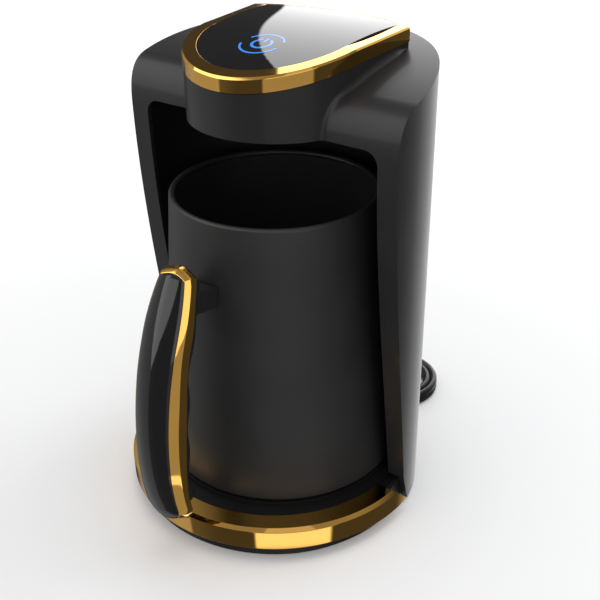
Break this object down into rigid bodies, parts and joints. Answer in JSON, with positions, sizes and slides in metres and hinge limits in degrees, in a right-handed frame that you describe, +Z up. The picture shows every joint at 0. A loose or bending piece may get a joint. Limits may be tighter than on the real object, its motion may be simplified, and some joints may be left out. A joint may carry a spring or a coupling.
{
  "type": "electric turkish coffee maker",
  "caption": "Round-backed electric Turkish coffee maker with an open bay, a removable conical pot with a free-ended handle, gold-coloured trim and a touch panel on its head.",
  "frame": {"origin": "on the table under the middle of the object's footprint, measured from the handle's front to the body's back and without the cord", "axes": "+Z up, -Y towards the user and the pot's handle, +X to the right seen from the front"},
  "size_m": [0.1865, 0.1979, 0.2074],
  "materials": {
    "body_satin": "fine satin texture",
    "bay_black": "matte",
    "gold_plate": "polished gold-coloured plating",
    "panel_glass": "high gloss, back-printed black",
    "key_light": "lit from behind",
    "clear_guide": "frosted clear",
    "board_green": "solder mask",
    "screw_steel": "zinc plated",
    "lens_dark": "dark filter",
    "inner_black": "moulded",
    "relay_blue": "moulded",
    "can_sleeve": "shrink sleeve",
    "nylon_white": "natural nylon",
    "lead_brown": "insulated lead",
    "tray_black": "matte",
    "black_rubber": "matte",
    "plate_coated": "non-stick coating",
    "element_grey": "annealed sheath",
    "bright_sheet": "drawn sheet",
    "spring_steel": "drawn wire",
    "fuse_ceramic": "ceramic body",
    "pot_coated": "dark non-stick coating",
    "grip_black": "satin",
    "handle_gloss": "piano black",
    "cord_pvc": "semi-matte jacket",
    "tie_black": "flat band",
    "plug_black": "moulded",
    "pin_nickel": "nickel plated"
  },
  "bodies": {
    "base": {"body_shell": "body_satin", "bay_liner": "bay_black", "head_underside": "bay_black", "panel_trim": "gold_plate", "touch_glass": "panel_glass", "power_key_mark": "key_light", "light_guide": "clear_guide", "touch_board": "board_green", "touch_board_screws": "screw_steel", "boil_sensor_lens": "lens_dark", "boil_sensor_holder": "inner_black", "power_board": "board_green", "power_board_screws": "screw_steel", "relay": "relay_blue", "capacitor": "can_sleeve", "buzzer": "inner_black", "lead_connector": "nylon_white", "wiring_leads": "lead_brown", "base_tray": "tray_black", "base_ring": "gold_plate", "bay_floor": "bay_black", "plate_seal": "black_rubber", "heating_plate": "plate_coated", "plate_screws": "screw_steel", "heating_element": "element_grey", "heat_shield": "bright_sheet", "sensor_cup": "bright_sheet", "sensor_spring": "spring_steel", "thermal_fuse": "fuse_ceramic", "fuse_clip": "bright_sheet", "terminal_block": "nylon_white", "cord_clamp": "inner_black", "feet": "black_rubber", "base_screws": "screw_steel", "strain_relief": "cord_pvc", "power_cord": "cord_pvc", "cord_coil": "cord_pvc", "cord_tie": "tie_black", "plug_body": "plug_black", "plug_pins": "pin_nickel"},
    "pot": {"pot_vessel": "pot_coated", "pot_base_disc": "bright_sheet", "handle_arm": "grip_black", "handle_grip": "grip_black", "handle_shell": "handle_gloss", "handle_trim": "gold_plate", "handle_screws": "screw_steel"},
    "sensor": {"sensor_cap": "bright_sheet", "sensor_probe": "inner_black"}
  },
  "joints": [
    {"name": "pot_slide", "type": "slide", "parent": "base", "child": "pot", "axis": [0, -1, 0], "range_m": [0, 0.15]},
    {"name": "sensor_press", "type": "slide", "parent": "base", "child": "sensor", "axis": [0, 0, -1], "range_m": [0, 0.0015], "stiffness_N_per_m": 600, "deforming": ["sensor_spring"]}
  ]
}
